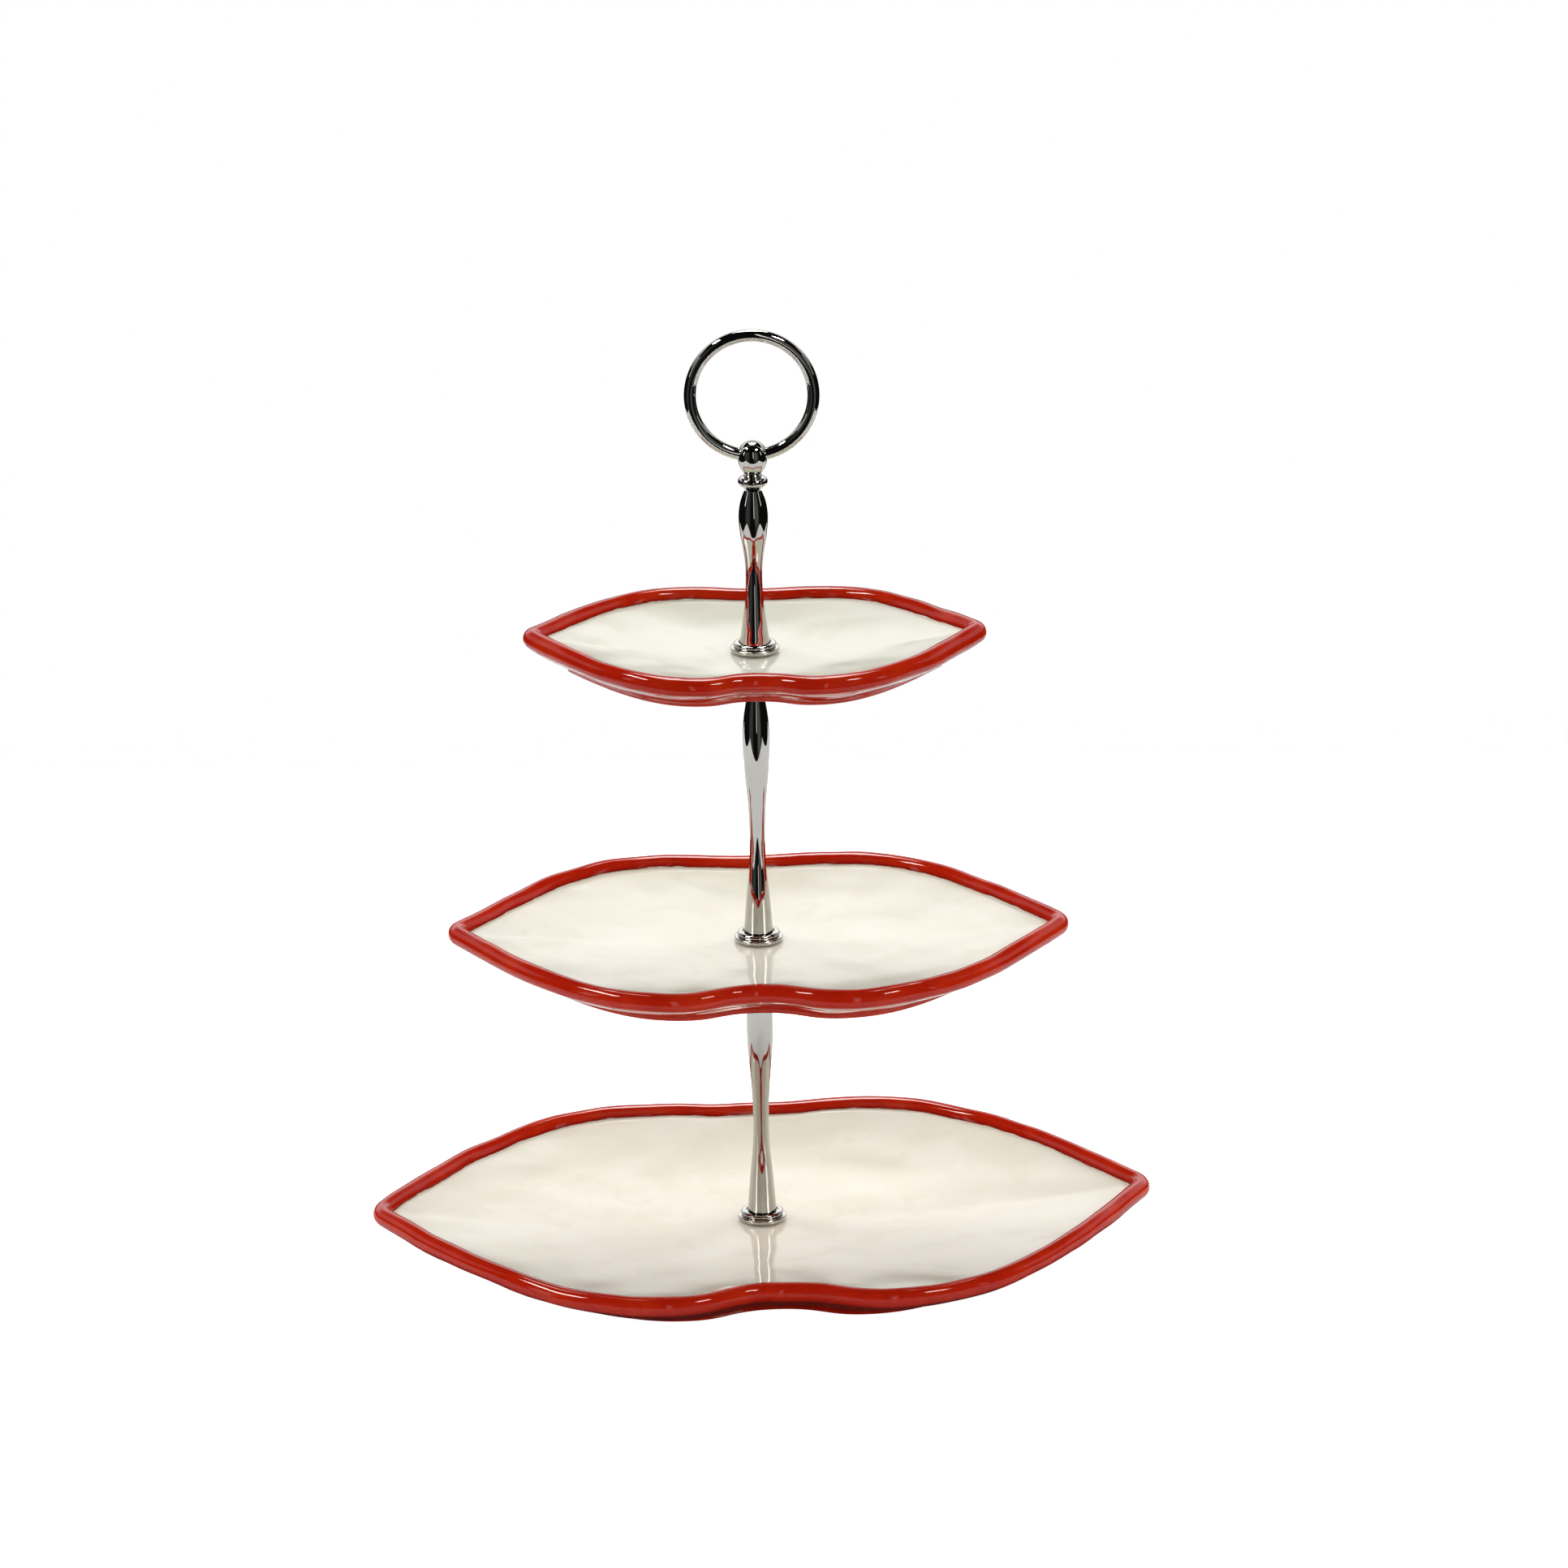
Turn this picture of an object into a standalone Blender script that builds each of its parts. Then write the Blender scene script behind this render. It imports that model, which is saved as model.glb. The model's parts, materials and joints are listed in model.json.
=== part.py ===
"""Three-tier cake stand: three lips-shaped ceramic plates on a chrome-plated post with a ring handle.

Metres, +Z up. The origin is on the table, under the middle of the post. +X runs along the plates,
from tip to tip, and -Y is the front. Each tier has an empty on the post's axis, at the height of its
plate's floor, and every piece of that tier is modelled from there. The post is screwed together:
a screw comes up through the bottom plate, and studs join column to column through the upper plates.
"""

import math

import bmesh
import bpy
from mathutils import Vector

MM = 0.001

# Clearance between pieces that bear on each other.
GAP = 0.3 * MM

# Plates. Lengths are from tip to tip along the middle of the rim's round bead.
WIDTH_TO_LENGTH = 0.705
TIP_RADIUS_TO_LENGTH = 0.034
BEAD_RADIUS = 3.6 * MM
FLANK_ANGLE = math.radians(60)
FLANK_FULLNESS = 0.72
LOBE_AT = 0.29
BACK_BOW = 0.965
FRONT_BOW = 0.89
SEAT_RADIUS = 11.0 * MM
PLATE_HOLE_RADIUS = 3.4 * MM

# Floor: loops at these shares of the way from seat to bead, rising by share to this power.
FLOOR_SHARES = (0.3, 0.6, 0.85)
FLOOR_CURVE = 2.2

# Underside: the bead is round to this angle, then the wall falls away under it to the foot.
BEAD_END_ANGLE = 230
WALL_TOP_INSET = 1.0 * MM
WALL_TOP_DROP = 4.6 * MM
WALL_TOP_LIFT = 0.7
WALL_MIDDLE_INSET = 0.46
WALL_MIDDLE_DROP = 0.6
WALL_MIDDLE_LIFT = 0.3

# Foot in section: (inset from its outer edge, height over its underside) in millimetres. The last
# inset is where the foot meets the plate's flat underside.
FOOT_SECTION_MM = [(-2.2, 2.0), (-1.3, 0.5), (0, 0), (2.4, 0), (4.0, 1.0)]
FOOT_HEEL_INSET = 7.4 * MM

# dish: height of the bead's middle over the floor's middle. tip_lift: how far the tips curve up.
# thickness: of the floor's middle. foot_inset and foot_drop: the foot's outer edge, from the bead's
# middle. turn: degrees that the plate stands turned on the post.
PLATES = {
    "bottom": dict(length=286 * MM, dish=6.2 * MM, tip_lift=1.6 * MM, thickness=4.4 * MM,
                   foot_inset=28 * MM, foot_drop=17.0 * MM, turn=3.4),
    "middle": dict(length=224 * MM, dish=4.1 * MM, tip_lift=0.3 * MM, thickness=4.1 * MM,
                   foot_inset=16 * MM, foot_drop=12.9 * MM, turn=0.0),
    "top": dict(length=163 * MM, dish=4.2 * MM, tip_lift=2.3 * MM, thickness=5.4 * MM,
                foot_inset=13 * MM, foot_drop=11.2 * MM, turn=0.0),
}

# Foot flange: a stepped washer, with a recess above for the column and one below for the gasket.
FLANGE_RADIUS = 9.05 * MM
FLANGE_LIP = 1.9 * MM
FLANGE_STEP_RADIUS = 7.95 * MM
FLANGE_HEIGHT = 3.9 * MM
FLANGE_SEAT_RADIUS = 6.2 * MM
FOOT_GASKET_HEIGHT = 0.6 * MM
FOOT_GASKET_RADIUS = 7.2 * MM

# Columns in outline: (height over the floor of the plate below, radius) in millimetres.
LONG_COLUMN_MM = [(3.6, 5.45), (17, 4.4), (30, 3.15), (42, 2.95), (54, 3.45), (66, 4.5),
                  (77, 4.95), (87, 4.5), (96.4, 3.0)]
TOP_COLUMN_MM = [(3.6, 5.7), (10, 4.45), (20, 3.45), (29, 2.95), (37, 3.45), (45, 4.85),
                 (51.5, 5.38), (57, 4.75), (61.7, 3.1)]
COLUMN_START = LONG_COLUMN_MM[0][0] * MM
COLUMN_RUNS = 2
BORE_DEPTH = 12.5 * MM
END_ROOM = 1.5 * MM

# Threaded pieces, drawn without their threads.
STUD_RADIUS = 2.0 * MM
STUD_BORE_RADIUS = STUD_RADIUS + GAP
HANDLE_STUD_RADIUS = 1.4 * MM
HANDLE_BORE_RADIUS = HANDLE_STUD_RADIUS + GAP
STUD_CHAMFER = 0.4 * MM

# Collars: tapered underside as (height over its bottom, radius) in millimetres, then a ring moulding.
COLLAR_TAPER_MM = [(0, 2.7), (1.3, 4.0)]
COLLAR_RADIUS = 5.45 * MM
MOULDING_RADIUS = 1.6 * MM
MOULDING_HEIGHT = 3.1 * MM

# Support collar and gasket between a long column and the plate above.
SUPPORT_FLARE_MM = [(5.2, 3.7), (6.4, 4.6)]
SUPPORT_RADIUS = 7.8 * MM
SUPPORT_EDGE = 1.2 * MM
SUPPORT_TOP = 105.3 * MM
SUPPORT_GASKET_HEIGHT = 1.0 * MM
SUPPORT_GASKET_RADIUS = 7.3 * MM

# Screw, washer and gasket under the bottom plate.
BASE_GASKET_HEIGHT = 0.8 * MM
BASE_GASKET_RADIUS = 9.5 * MM
BASE_WASHER_HEIGHT = 1.0 * MM
BASE_WASHER_RADIUS = 9.0 * MM
SCREW_HEAD_HEIGHT = 2.2 * MM
SCREW_HEAD_RADIUS = 4.4 * MM
SCREW_HEAD_FACE_RADIUS = 2.8 * MM
SCREW_HEAD_EDGE = 0.6 * MM
SCREW_SOCKET_RADIUS = 1.5 * MM
SCREW_SOCKET_DEPTH = 1.2 * MM

# Handle, in heights over the top plate's floor.
HANDLE_COLLAR_BOTTOM = 62.0 * MM
HANDLE_COLLAR_TOP = 68.0 * MM
HANDLE_NECK_MM = [(-1.3, 2.9), (-0.7, 3.4), (0, 2.9)]
BALL_RADIUS = 5.45 * MM
BALL_HEIGHT = 74.9 * MM
BALL_STRETCH_BELOW = 1.5
BALL_BORE_DEPTH = 2.2 * MM
RING_RADIUS = 22.5 * MM
RING_WIRE_RADIUS = 2.2 * MM
RING_SPLIT = math.radians(4)
RING_BORE_SPAN = math.radians(23)

# Facets.
TIP_STEPS = 2
FLANK_STEPS = 5
BOW_STEPS = 4
BEAD_STEPS = 6
ROUND_STEPS = 18
LIP_STEPS = 3
MOULDING_STEPS = 5
BALL_STEPS = 5
WIRE_STEPS = 10
RING_STEPS = 36
RING_BORE_STEPS = 8
SMOOTH_UNDER = math.radians(35)

# Colours, as linear RGB.
CREAM = (0.80, 0.77, 0.68)
CHROME = (0.83, 0.83, 0.85)
STEEL = (0.55, 0.55, 0.56)
RUBBER = (0.03, 0.03, 0.03)
CLEAR_PLASTIC = (0.75, 0.75, 0.72)


def clear_scene():
    for obj in list(bpy.data.objects):
        bpy.data.objects.remove(obj, do_unlink=True)


def make_material(name, colour, roughness, metallic=0.0):
    material = bpy.data.materials.new(name)
    material.use_nodes = True
    shader = material.node_tree.nodes["Principled BSDF"]
    shader.inputs["Base Color"].default_value = (*colour, 1.0)
    shader.inputs["Roughness"].default_value = roughness
    shader.inputs["Metallic"].default_value = metallic
    return material


def make_tier(name, height):
    tier = bpy.data.objects.new(name, None)
    tier.location = (0, 0, height)
    tier.empty_display_size = 0.02
    bpy.context.scene.collection.objects.link(tier)
    return tier


def make_object(name, mesh_builder, material, parent):
    """A named object from a bmesh, smooth where it is round, in its tier's frame."""
    bmesh.ops.recalc_face_normals(mesh_builder, faces=mesh_builder.faces)
    mesh = bpy.data.meshes.new(name)
    mesh_builder.to_mesh(mesh)
    mesh_builder.free()
    mesh.shade_smooth()
    mesh.set_sharp_from_angle(angle=SMOOTH_UNDER)
    mesh.materials.append(material)
    obj = bpy.data.objects.new(name, mesh)
    bpy.context.scene.collection.objects.link(obj)
    obj.parent = parent
    return obj


# Meshes


def skin(rings, wrap_rings):
    """A mesh over rings of equally many points. A ring of one point is a pole.

    With wrap_rings, the last ring joins the first, as around a washer. Otherwise the first and the
    last ring close the ends, as poles or as flat caps.
    """
    builder = bmesh.new()
    rows = [[builder.verts.new(point) for point in ring] for ring in rings]
    pairs = list(zip(rows, rows[1:]))
    if wrap_rings:
        pairs.append((rows[-1], rows[0]))
    for lower, upper in pairs:
        count = max(len(lower), len(upper))
        for i in range(count):
            j = (i + 1) % count
            corners = [lower[i % len(lower)], lower[j % len(lower)],
                       upper[j % len(upper)], upper[i % len(upper)]]
            builder.faces.new(list(dict.fromkeys(corners)))
    if not wrap_rings:
        for row in (rows[0], rows[-1]):
            if len(row) > 1:
                builder.faces.new(row)
    return builder


def circle(radius, height, steps=ROUND_STEPS):
    """A ring of points about the Z axis, or one point where the radius is 0."""
    if radius == 0:
        return [Vector((0, 0, height))]
    angles = [2 * math.pi * i / steps for i in range(steps)]
    return [Vector((radius * math.cos(a), radius * math.sin(a), height)) for a in angles]


def turned(profile, steps=ROUND_STEPS):
    """A solid turned about Z from (radius, height) points: from axis to axis, or a closed outline."""
    on_axis = profile[0][0] == 0 and profile[-1][0] == 0
    return skin([circle(radius, height, steps) for radius, height in profile], not on_axis)


def arc(centre, radius, start, end, steps):
    """Points (x, y) along an arc, angles in degrees."""
    angles = [math.radians(start + (end - start) * i / steps) for i in range(steps + 1)]
    return [(centre[0] + radius * math.cos(a), centre[1] + radius * math.sin(a)) for a in angles]


def smooth_through(points, runs):
    """Points on a Catmull-Rom curve through the given ones, with this many runs between each two."""
    padded = [points[0], *points, points[-1]]
    curve = []
    for before, start, end, after in zip(padded, padded[1:], padded[2:], padded[3:]):
        for i in range(runs):
            t = i / runs
            weights = ((-t + 2 * t**2 - t**3) / 2, (2 - 5 * t**2 + 3 * t**3) / 2,
                       (t + 4 * t**2 - 3 * t**3) / 2, (-t**2 + t**3) / 2)
            corners = (before, start, end, after)
            curve.append(tuple(sum(w * c[k] for w, c in zip(weights, corners)) for k in (0, 1)))
    return [*curve, points[-1]]


# Plates


def bezier(start, first, second, end, steps):
    """Points after the start of a cubic Bezier curve."""
    points = []
    for i in range(1, steps + 1):
        t = i / steps
        points.append((1 - t)**3 * start + 3 * t * (1 - t)**2 * first
                      + 3 * t**2 * (1 - t) * second + t**3 * end)
    return points


def lips_quarter(half_length, half_width, bow):
    """The outline from the tip at +X, up the straight flank and over the lobe, to the Y axis."""
    tip_radius = 2 * half_length * TIP_RADIUS_TO_LENGTH
    tip = arc((half_length - tip_radius, 0), tip_radius, 0, 90 - math.degrees(FLANK_ANGLE), TIP_STEPS)
    points = [Vector(point) for point in tip]
    start = points[-1]
    lobe = Vector((LOBE_AT * half_length, half_width))
    corner = Vector((start.x - (lobe.y - start.y) / math.tan(FLANK_ANGLE), lobe.y))
    points += bezier(start, start.lerp(corner, FLANK_FULLNESS), lobe.lerp(corner, FLANK_FULLNESS),
                     lobe, FLANK_STEPS)
    middle = Vector((0, bow * half_width))
    points += bezier(lobe, Vector((lobe.x / 2, lobe.y)), Vector((lobe.x / 2, middle.y)),
                     middle, BOW_STEPS)
    return points


def lips_outline(length):
    """The closed outline of a rim, anticlockwise from the tip at +X: back half, then front half."""
    half_length = length / 2
    half_width = half_length * WIDTH_TO_LENGTH
    back = lips_quarter(half_length, half_width, BACK_BOW)
    front = lips_quarter(half_length, half_width, FRONT_BOW)
    return (back[:-1]
            + [Vector((-p.x, p.y)) for p in reversed(back[1:])]
            + [Vector((-p.x, -p.y)) for p in front[:-1]]
            + [Vector((p.x, -p.y)) for p in reversed(front[1:])])


def inset_loop(outline, inset, height, lift=0):
    """The outline moved inwards by this much, at a height, with its tips lifted.

    Within the bead it moves along its own normals. Further in it shrinks in length and width, which
    keeps the loops clear of each other at the tips.
    """
    near = max(-BEAD_RADIUS, min(inset, BEAD_RADIUS))
    count = len(outline)
    loop = []
    for i, point in enumerate(outline):
        along = (outline[(i + 1) % count] - outline[i - 1]).normalized()
        loop.append(point + Vector((-along.y, along.x)) * near)
    half_length = max(p.x for p in loop)
    half_width = max(p.y for p in loop)
    rest = inset - near
    scale_x = 1 - rest / math.sin(FLANK_ANGLE) / half_length
    scale_y = 1 - rest / half_width
    return [Vector((p.x * scale_x, p.y * scale_y, height + lift * (p.x / half_length)**2)) for p in loop]


def floor_loop(floor_edge, share):
    """A loop of the dished floor, from the seat's circle, at share 0, to the floor's edge, at 1."""
    seat = circle(SEAT_RADIUS, 0, len(floor_edge))
    rise = share**FLOOR_CURVE
    return [Vector((s.x + share * (p.x - s.x), s.y + share * (p.y - s.y), rise * p.z))
            for s, p in zip(seat, floor_edge)]


def plate_rings(length, dish, tip_lift, thickness, foot_inset, foot_drop):
    """The plate's surface as rings: from the hole over the floor, the bead, the wall and the foot."""
    outline = lips_outline(length)
    count = len(outline)
    bead = [inset_loop(outline, inset, height, tip_lift)
            for inset, height in arc((0, dish), BEAD_RADIUS, 0, BEAD_END_ANGLE, BEAD_STEPS)]
    wall = [inset_loop(outline, WALL_TOP_INSET, dish - WALL_TOP_DROP, WALL_TOP_LIFT * tip_lift),
            inset_loop(outline, WALL_MIDDLE_INSET * foot_inset, dish - WALL_MIDDLE_DROP * foot_drop,
                       WALL_MIDDLE_LIFT * tip_lift)]
    foot = [inset_loop(outline, foot_inset + inset * MM, dish - foot_drop + height * MM)
            for inset, height in FOOT_SECTION_MM]
    foot.append(inset_loop(outline, foot_inset + FOOT_HEEL_INSET, -thickness))
    rings = [circle(PLATE_HOLE_RADIUS, 0, count), circle(SEAT_RADIUS, 0, count)]
    rings += [floor_loop(bead[0], share) for share in FLOOR_SHARES]
    rings += bead + wall + foot
    rings += [circle(SEAT_RADIUS, -thickness, count), circle(PLATE_HOLE_RADIUS, -thickness, count)]
    return rings


def make_plate(tier_name, material, parent):
    size = dict(PLATES[tier_name])
    turn = size.pop("turn")
    plate = make_object(f"{tier_name}_plate", skin(plate_rings(**size), True), material, parent)
    plate.rotation_euler.z = math.radians(turn)
    return plate


# Post


def flange_profile():
    """A foot flange in section: hole, gasket recess, rounded lip, rounded step, column recess."""
    lip_round = FLANGE_LIP / 2
    lip = arc((FLANGE_RADIUS - lip_round, GAP + lip_round), lip_round, -90, 90, LIP_STEPS)
    step_middle = (GAP + FLANGE_LIP + FLANGE_HEIGHT) / 2
    step_round = (FLANGE_HEIGHT - GAP - FLANGE_LIP) / 2
    step = arc((FLANGE_STEP_RADIUS - step_round, step_middle), step_round, -60, 90, LIP_STEPS)
    recess = GAP + FOOT_GASKET_HEIGHT + GAP
    recess_radius = FOOT_GASKET_RADIUS + GAP
    seat = COLUMN_START - GAP
    return [(STUD_BORE_RADIUS, recess), (recess_radius, recess), (recess_radius, GAP), *lip, *step,
            (FLANGE_SEAT_RADIUS, FLANGE_HEIGHT), (FLANGE_SEAT_RADIUS, seat), (STUD_BORE_RADIUS, seat)]


def make_foot_flange(tier_name, materials, parent):
    make_object(f"{tier_name}_foot_flange", turned(flange_profile()), materials["chrome"], parent)
    top = GAP + FOOT_GASKET_HEIGHT
    gasket = [(STUD_BORE_RADIUS, GAP), (FOOT_GASKET_RADIUS, GAP),
              (FOOT_GASKET_RADIUS, top), (STUD_BORE_RADIUS, top)]
    make_object(f"{tier_name}_foot_gasket", turned(gasket), materials["clear_plastic"], parent)


def column_profile(outline_mm, bore_above):
    """A column in section, with a blind bore up from its foot and another down from its top."""
    surface = [(radius * MM, height * MM) for height, radius in smooth_through(outline_mm, COLUMN_RUNS)]
    bottom = surface[0][1]
    top = surface[-1][1]
    return [(0, bottom + BORE_DEPTH), (STUD_BORE_RADIUS, bottom + BORE_DEPTH),
            (STUD_BORE_RADIUS, bottom), *surface,
            (bore_above, top), (bore_above, top - BORE_DEPTH), (0, top - BORE_DEPTH)]


def collar_section(bottom, bore):
    """The lower part of a collar: tapered underside, then the outer half of its ring moulding."""
    middle = (COLLAR_RADIUS - MOULDING_RADIUS, bottom + MOULDING_HEIGHT)
    return [(bore, bottom), *((radius * MM, bottom + height * MM) for height, radius in COLLAR_TAPER_MM),
            *arc(middle, MOULDING_RADIUS, -60, 80, MOULDING_STEPS)]


def make_support(tier_name, materials, parent):
    """The collar on a long column's top, and the gasket between it and the plate above."""
    bottom = LONG_COLUMN_MM[-1][0] * MM + GAP
    profile = [*collar_section(bottom, STUD_BORE_RADIUS),
               *((radius * MM, bottom + height * MM) for height, radius in SUPPORT_FLARE_MM),
               (SUPPORT_RADIUS, SUPPORT_TOP - SUPPORT_EDGE), (SUPPORT_RADIUS, SUPPORT_TOP),
               (STUD_BORE_RADIUS, SUPPORT_TOP)]
    make_object(f"{tier_name}_support_collar", turned(profile), materials["chrome"], parent)
    start = SUPPORT_TOP + GAP
    end = start + SUPPORT_GASKET_HEIGHT
    gasket = [(STUD_BORE_RADIUS, start), (SUPPORT_GASKET_RADIUS, start),
              (SUPPORT_GASKET_RADIUS, end), (STUD_BORE_RADIUS, end)]
    make_object(f"{tier_name}_support_gasket", turned(gasket), materials["rubber"], parent)
    return end + GAP


def make_stud(name, radius, start, end, material, parent):
    """A threaded stud, drawn as a rod with chamfered ends."""
    narrow = radius - STUD_CHAMFER
    profile = [(0, start), (narrow, start), (radius, start + STUD_CHAMFER),
               (radius, end - STUD_CHAMFER), (narrow, end), (0, end)]
    make_object(name, turned(profile, WIRE_STEPS), material, parent)


def make_base_fixing(materials, parent):
    """The gasket, washer and screw that pull the bottom plate up against the base column."""
    gasket_top = -PLATES["bottom"]["thickness"] - GAP
    gasket_bottom = gasket_top - BASE_GASKET_HEIGHT
    washer_top = gasket_bottom - GAP
    washer_bottom = washer_top - BASE_WASHER_HEIGHT
    head_top = washer_bottom - GAP
    head_bottom = head_top - SCREW_HEAD_HEIGHT
    for name, radius, low, high, material in (
        ("base_gasket", BASE_GASKET_RADIUS, gasket_bottom, gasket_top, "rubber"),
        ("base_washer", BASE_WASHER_RADIUS, washer_bottom, washer_top, "steel"),
    ):
        ring = [(STUD_BORE_RADIUS, low), (radius, low), (radius, high), (STUD_BORE_RADIUS, high)]
        make_object(name, turned(ring), materials[material], parent)
    socket = head_bottom + SCREW_SOCKET_DEPTH
    end = COLUMN_START + BORE_DEPTH - END_ROOM
    screw = [(0, socket), (SCREW_SOCKET_RADIUS, socket), (SCREW_SOCKET_RADIUS, head_bottom),
             (SCREW_HEAD_FACE_RADIUS, head_bottom),
             (SCREW_HEAD_RADIUS - SCREW_HEAD_EDGE, head_bottom + SCREW_HEAD_EDGE),
             (SCREW_HEAD_RADIUS, head_top), (STUD_RADIUS, head_top),
             (STUD_RADIUS, end - STUD_CHAMFER), (STUD_RADIUS - STUD_CHAMFER, end), (0, end)]
    make_object("base_screw", turned(screw), materials["steel"], parent)


# Handle


def ring_arc(wire_radius, start, end, steps):
    """A bent round bar about the ring's centre, in the XZ plane; angles from straight down."""
    rings = []
    for i in range(steps + 1):
        angle = start + (end - start) * i / steps
        outward = Vector((math.sin(angle), 0, -math.cos(angle)))
        centre = Vector((0, 0, BALL_HEIGHT + RING_RADIUS)) + outward * RING_RADIUS
        ring = []
        for k in range(WIRE_STEPS):
            turn = 2 * math.pi * k / WIRE_STEPS
            around = outward * math.cos(turn) + Vector((0, math.sin(turn), 0))
            ring.append(centre + around * wire_radius)
        rings.append(ring)
    return skin(rings, False)


def make_handle(materials, parent):
    """Collar, ball and split ring. The ring's two ends meet inside the ball's cross bore."""
    bore = HANDLE_BORE_RADIUS
    top = HANDLE_COLLAR_TOP
    collar = [*collar_section(HANDLE_COLLAR_BOTTOM, bore),
              *((radius * MM, top + height * MM) for height, radius in HANDLE_NECK_MM), (bore, top)]
    make_object("handle_collar", turned(collar), materials["chrome"], parent)

    bottom = top + GAP
    stretched = BALL_RADIUS * BALL_STRETCH_BELOW
    start = math.degrees(math.asin((bottom - BALL_HEIGHT) / stretched))
    lower = [(radius, BALL_HEIGHT + BALL_STRETCH_BELOW * height)
             for radius, height in arc((0, 0), BALL_RADIUS, start, 0, BALL_STEPS)]
    upper = arc((0, BALL_HEIGHT), BALL_RADIUS, 15, 75, BALL_STEPS - 1)
    bore_end = bottom + BALL_BORE_DEPTH
    ball = [(0, bore_end), (bore, bore_end), (bore, bottom), *lower, *upper,
            (0, BALL_HEIGHT + BALL_RADIUS)]
    ball_object = make_object("handle_ball", turned(ball), materials["chrome"], parent)
    bore_shape = ring_arc(RING_WIRE_RADIUS + GAP, -RING_BORE_SPAN, RING_BORE_SPAN, RING_BORE_STEPS)
    cutter = make_object("ring_bore_cutter", bore_shape, materials["steel"], parent)
    cutter.hide_render = True
    cutter.display_type = "WIRE"
    cut = ball_object.modifiers.new("ring_bore", "BOOLEAN")
    cut.object = cutter
    cut.operation = "DIFFERENCE"

    ring = ring_arc(RING_WIRE_RADIUS, RING_SPLIT, 2 * math.pi - RING_SPLIT, RING_STEPS)
    make_object("handle_ring", ring, materials["chrome"], parent)


def build():
    clear_scene()
    materials = {
        "ceramic": make_material("glazed_ceramic", CREAM, 0.08),
        "chrome": make_material("chrome_plate", CHROME, 0.04, 1.0),
        "steel": make_material("zinc_plated_steel", STEEL, 0.35, 1.0),
        "rubber": make_material("black_rubber", RUBBER, 0.7),
        "clear_plastic": make_material("clear_plastic", CLEAR_PLASTIC, 0.3),
    }

    floor = PLATES["bottom"]["foot_drop"] - PLATES["bottom"]["dish"]
    base = make_tier("base_tier", floor)
    make_plate("bottom", materials["ceramic"], base)
    make_base_fixing(materials, base)
    make_foot_flange("base", materials, base)
    make_object("base_column", turned(column_profile(LONG_COLUMN_MM, STUD_BORE_RADIUS)),
                materials["chrome"], base)
    plate_underside = make_support("base", materials, base)

    floor += plate_underside + PLATES["middle"]["thickness"]
    middle = make_tier("middle_tier", floor)
    make_plate("middle", materials["ceramic"], middle)
    make_foot_flange("middle", materials, middle)
    make_object("middle_column", turned(column_profile(LONG_COLUMN_MM, STUD_BORE_RADIUS)),
                materials["chrome"], middle)
    make_support("middle", materials, middle)

    stud_start = LONG_COLUMN_MM[-1][0] * MM - BORE_DEPTH + END_ROOM
    stud_reach = plate_underside + COLUMN_START + BORE_DEPTH - END_ROOM
    make_stud("base_stud", STUD_RADIUS, stud_start, stud_reach + PLATES["middle"]["thickness"],
              materials["steel"], base)
    make_stud("middle_stud", STUD_RADIUS, stud_start, stud_reach + PLATES["top"]["thickness"],
              materials["steel"], middle)

    floor += plate_underside + PLATES["top"]["thickness"]
    top = make_tier("top_tier", floor)
    make_plate("top", materials["ceramic"], top)
    make_foot_flange("top", materials, top)
    make_object("top_column", turned(column_profile(TOP_COLUMN_MM, HANDLE_BORE_RADIUS)),
                materials["chrome"], top)
    handle_stud_start = TOP_COLUMN_MM[-1][0] * MM - BORE_DEPTH + END_ROOM
    make_stud("handle_stud", HANDLE_STUD_RADIUS, handle_stud_start,
              HANDLE_COLLAR_TOP + BALL_BORE_DEPTH, materials["steel"], top)
    make_handle(materials, top)


build()
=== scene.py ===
"""Looks of the three-tier cake stand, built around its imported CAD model.

Every visible piece is made again at a finer grain, from outlines and sections that stay within
0.3 mm of the CAD model's. The plates then get the slight unevenness of hand-pressed ceramic.
Metres, +Z up, -Y is the front. Names that end in _MM hold millimetres.
"""

import json
import math

import bmesh
import bpy
from mathutils import Matrix, Vector, noise


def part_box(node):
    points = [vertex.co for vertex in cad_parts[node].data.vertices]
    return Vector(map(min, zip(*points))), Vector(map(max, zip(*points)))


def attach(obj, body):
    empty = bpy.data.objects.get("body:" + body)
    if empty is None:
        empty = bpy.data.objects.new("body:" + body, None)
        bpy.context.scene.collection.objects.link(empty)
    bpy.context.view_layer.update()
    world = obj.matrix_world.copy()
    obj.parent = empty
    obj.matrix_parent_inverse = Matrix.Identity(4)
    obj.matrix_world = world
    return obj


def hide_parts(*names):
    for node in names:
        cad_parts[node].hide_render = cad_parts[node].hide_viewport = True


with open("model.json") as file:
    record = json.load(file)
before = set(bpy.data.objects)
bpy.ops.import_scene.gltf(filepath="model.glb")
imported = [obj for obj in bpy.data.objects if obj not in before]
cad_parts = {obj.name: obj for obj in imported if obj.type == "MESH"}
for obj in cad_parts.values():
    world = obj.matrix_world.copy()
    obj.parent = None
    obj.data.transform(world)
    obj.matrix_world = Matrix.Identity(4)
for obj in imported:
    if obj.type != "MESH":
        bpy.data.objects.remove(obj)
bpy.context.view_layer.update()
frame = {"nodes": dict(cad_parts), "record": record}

MM = 0.001

# Clearance between pieces that bear on each other, as in the CAD model.
GAP = 0.3 * MM

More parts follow.
